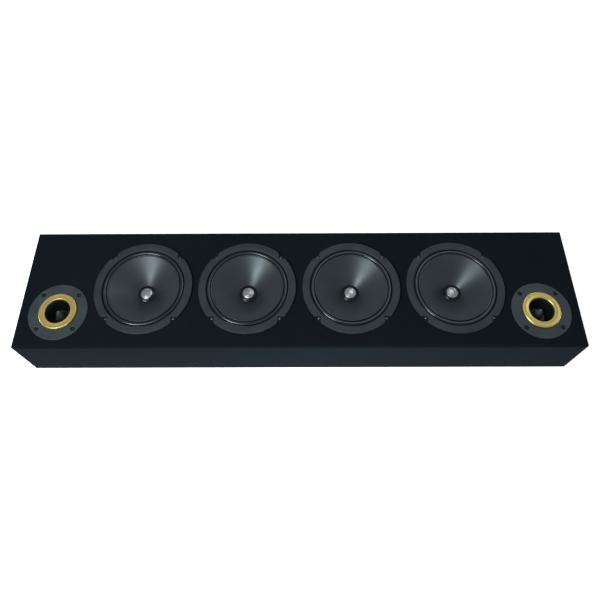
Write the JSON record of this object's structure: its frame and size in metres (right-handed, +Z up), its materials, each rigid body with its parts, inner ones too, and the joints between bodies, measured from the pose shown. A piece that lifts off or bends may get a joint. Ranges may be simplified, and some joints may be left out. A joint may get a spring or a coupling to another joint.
{
  "type": "car speaker box",
  "caption": "Long carpeted speaker box for a car with midrange cones between two bullet tweeters and a spring terminal in its back.",
  "frame": {"origin": "centre of the underside, on the surface that the box lies on", "axes": "+X along the box, towards its right end as seen from the near long side; +Y across the box, towards the side with the terminal; +Z up, out of the baffle"},
  "size_m": [0.9496, 0.2204, 0.1195],
  "materials": {
    "carpet": "matte",
    "board": "matte",
    "painted_steel": "satin",
    "trim_rubber": "matte",
    "surround_rubber": "matte",
    "cone": "satin",
    "dust_cap": "brushed",
    "copper": "satin",
    "spider_cloth": "matte",
    "diaphragm": "matte",
    "plated_steel": "satin",
    "ferrite": "matte",
    "screw": "satin",
    "horn": "satin",
    "gold": "satin",
    "bullet": "satin",
    "tag_strip": "matte",
    "terminal_plastic": "satin",
    "contact": "satin",
    "lever_red": "gloss",
    "lever_black": "gloss"
  },
  "bodies": {
    "enclosure": {"back_board": "board", "baffle_board": "board", "side_board_near": "board", "side_board_far": "board", "end_board_left": "board", "end_board_right": "board", "carpet_wrap": "carpet", "carpet_base": "carpet", "carpet_end_left": "carpet", "carpet_end_right": "carpet", "basket_1": "painted_steel", "basket_2": "painted_steel", "basket_3": "painted_steel", "basket_4": "painted_steel", "trim_ring_1": "trim_rubber", "trim_ring_2": "trim_rubber", "trim_ring_3": "trim_rubber", "trim_ring_4": "trim_rubber", "surround_1": "surround_rubber", "surround_2": "surround_rubber", "surround_3": "surround_rubber", "surround_4": "surround_rubber", "spider_1": "spider_cloth", "spider_2": "spider_cloth", "spider_3": "spider_cloth", "spider_4": "spider_cloth", "midrange_top_plates": "plated_steel", "midrange_magnets": "ferrite", "midrange_yokes": "plated_steel", "midrange_screws": "screw", "tweeter_horn_left": "horn", "tweeter_horn_right": "horn", "tweeter_ring_left": "gold", "tweeter_ring_right": "gold", "tweeter_bullet_left": "bullet", "tweeter_bullet_right": "bullet", "tweeter_diaphragm_left": "diaphragm", "tweeter_diaphragm_right": "diaphragm", "tweeter_top_plates": "plated_steel", "tweeter_magnets": "ferrite", "tweeter_yokes": "plated_steel", "tweeter_screws": "screw", "driver_tags": "tag_strip", "terminal_cup": "terminal_plastic", "terminal_contacts": "contact", "terminal_screws": "screw"},
    "cone_unit_1": {"cone_1": "cone", "dust_cap_1": "dust_cap", "voice_coil_1": "copper"},
    "cone_unit_2": {"cone_2": "cone", "dust_cap_2": "dust_cap", "voice_coil_2": "copper"},
    "cone_unit_3": {"cone_3": "cone", "dust_cap_3": "dust_cap", "voice_coil_3": "copper"},
    "cone_unit_4": {"cone_4": "cone", "dust_cap_4": "dust_cap", "voice_coil_4": "copper"},
    "red_lever": {"lever_red": "lever_red"},
    "black_lever": {"lever_black": "lever_black"}
  },
  "joints": [
    {"name": "cone_travel_1", "type": "slide", "parent": "enclosure", "child": "cone_unit_1", "axis": [0, 0, 1], "range_m": [-0.003, 0.003], "stiffness_N_per_m": 2000, "deforming": ["surround_1", "spider_1"]},
    {"name": "cone_travel_2", "type": "slide", "parent": "enclosure", "child": "cone_unit_2", "axis": [0, 0, 1], "range_m": [-0.003, 0.003], "stiffness_N_per_m": 2000, "deforming": ["surround_2", "spider_2"]},
    {"name": "cone_travel_3", "type": "slide", "parent": "enclosure", "child": "cone_unit_3", "axis": [0, 0, 1], "range_m": [-0.003, 0.003], "stiffness_N_per_m": 2000, "deforming": ["surround_3", "spider_3"]},
    {"name": "cone_travel_4", "type": "slide", "parent": "enclosure", "child": "cone_unit_4", "axis": [0, 0, 1], "range_m": [-0.003, 0.003], "stiffness_N_per_m": 2000, "deforming": ["surround_4", "spider_4"]},
    {"name": "red_lever_press", "type": "hinge", "parent": "enclosure", "child": "red_lever", "pos_m": [0.014, 0.095, 0.0665], "axis": [-1, 0, 0], "range_deg": [0, 16], "stiffness_Nm_per_rad": 0.03},
    {"name": "black_lever_press", "type": "hinge", "parent": "enclosure", "child": "black_lever", "pos_m": [-0.014, 0.095, 0.0665], "axis": [-1, 0, 0], "range_deg": [0, 16], "stiffness_Nm_per_rad": 0.03}
  ]
}
